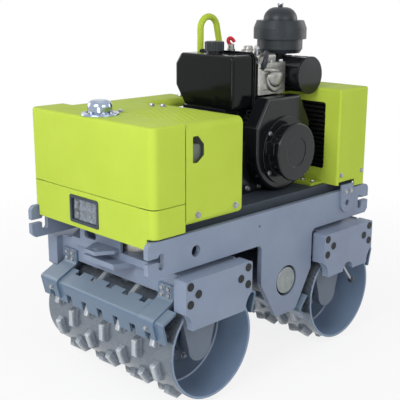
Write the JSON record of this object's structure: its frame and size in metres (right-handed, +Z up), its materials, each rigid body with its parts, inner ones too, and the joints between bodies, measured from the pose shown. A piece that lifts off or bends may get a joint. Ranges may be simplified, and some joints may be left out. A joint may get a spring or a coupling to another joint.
{
  "type": "trench roller",
  "caption": "Walk-along trench roller with pad-foot drums, notched scrapers, steered front yoke, side frame with tie-down hooks and an open diesel engine behind a flat hood.",
  "frame": {"origin": "on the ground below the middle of the machine's box", "axes": "+X forward, the hood end; +Y the machine's left; +Z up"},
  "size_m": [1.1299, 0.701, 1.221],
  "materials": {
    "engine_plastic": "satin moulded",
    "frame_paint": "semi-gloss paint",
    "bare_aluminium": "cast, machined",
    "rubber_black": "matt",
    "engine_black": "gloss black",
    "dark_steel": "paint in shadow",
    "bright_chrome": "polished",
    "drum_zinc": "zinc-sprayed, satin",
    "black_plug": "matt",
    "scraper_paint": "semi-gloss paint",
    "bare_steel": "machined",
    "cover_green": "semi-gloss paint",
    "tank_grey": "paint",
    "lamp_black": "matt",
    "lamp_glass": "clear",
    "lever_black": "satin",
    "cooler_black": "satin black"
  },
  "bodies": {
    "chassis": {"air_cleaner_bowl": "engine_plastic", "air_cleaner_dome": "engine_plastic", "cross_frame_front": "frame_paint", "cross_frame_rear": "frame_paint", "cylinder": "bare_aluminium", "cylinder_head": "bare_aluminium", "deck_mounts": "rubber_black", "engine_block": "engine_black", "engine_deck": "frame_paint", "exciter_covers": "bare_aluminium", "exciter_housing": "dark_steel", "fan_shroud": "engine_black", "filler_cap": "bright_chrome", "fuel_cap": "engine_plastic", "fuel_tank": "engine_black", "hood_lower": "cover_green", "hood_upper": "cover_green", "hydraulic_tank": "tank_grey", "lamp_bezel": "lamp_black", "lamp_lens": "lamp_glass", "lifting_loop": "cover_green", "lock_lever": "lever_black", "muffler": "engine_black", "oil_cooler": "cooler_black", "rear_arms": "frame_paint", "rear_box": "cover_green", "rear_brackets": "frame_paint", "rear_plugs": "black_plug", "rear_scrapers": "scraper_paint", "rear_slew_ring": "bare_steel", "rear_weights": "frame_paint", "rear_yoke": "frame_paint", "recoil_starter": "engine_black", "side_panel_left": "cover_green", "side_panel_right": "cover_green", "side_plate_left": "frame_paint", "side_plate_right": "frame_paint"},
    "front_yoke": {"front_arms": "frame_paint", "front_plugs": "black_plug", "front_scrapers": "scraper_paint", "front_slew_ring": "bare_steel", "front_weights": "frame_paint", "front_yoke": "frame_paint"},
    "front_drum": {"front_drum": "drum_zinc"},
    "rear_drum": {"rear_drum": "drum_zinc"}
  },
  "joints": [
    {"name": "front_steer", "type": "hinge", "parent": "chassis", "child": "front_yoke", "pos_m": [0.316, 0, 0.45], "axis": [0, 0, 1], "range_deg": [-15, 15]},
    {"name": "front_drum_spin", "type": "hinge", "parent": "front_yoke", "child": "front_drum", "pos_m": [0.316, 0, 0.195], "axis": [0, 1, 0], "continuous": true},
    {"name": "rear_drum_spin", "type": "hinge", "parent": "chassis", "child": "rear_drum", "pos_m": [-0.351, 0, 0.195], "axis": [0, 1, 0], "continuous": true}
  ]
}
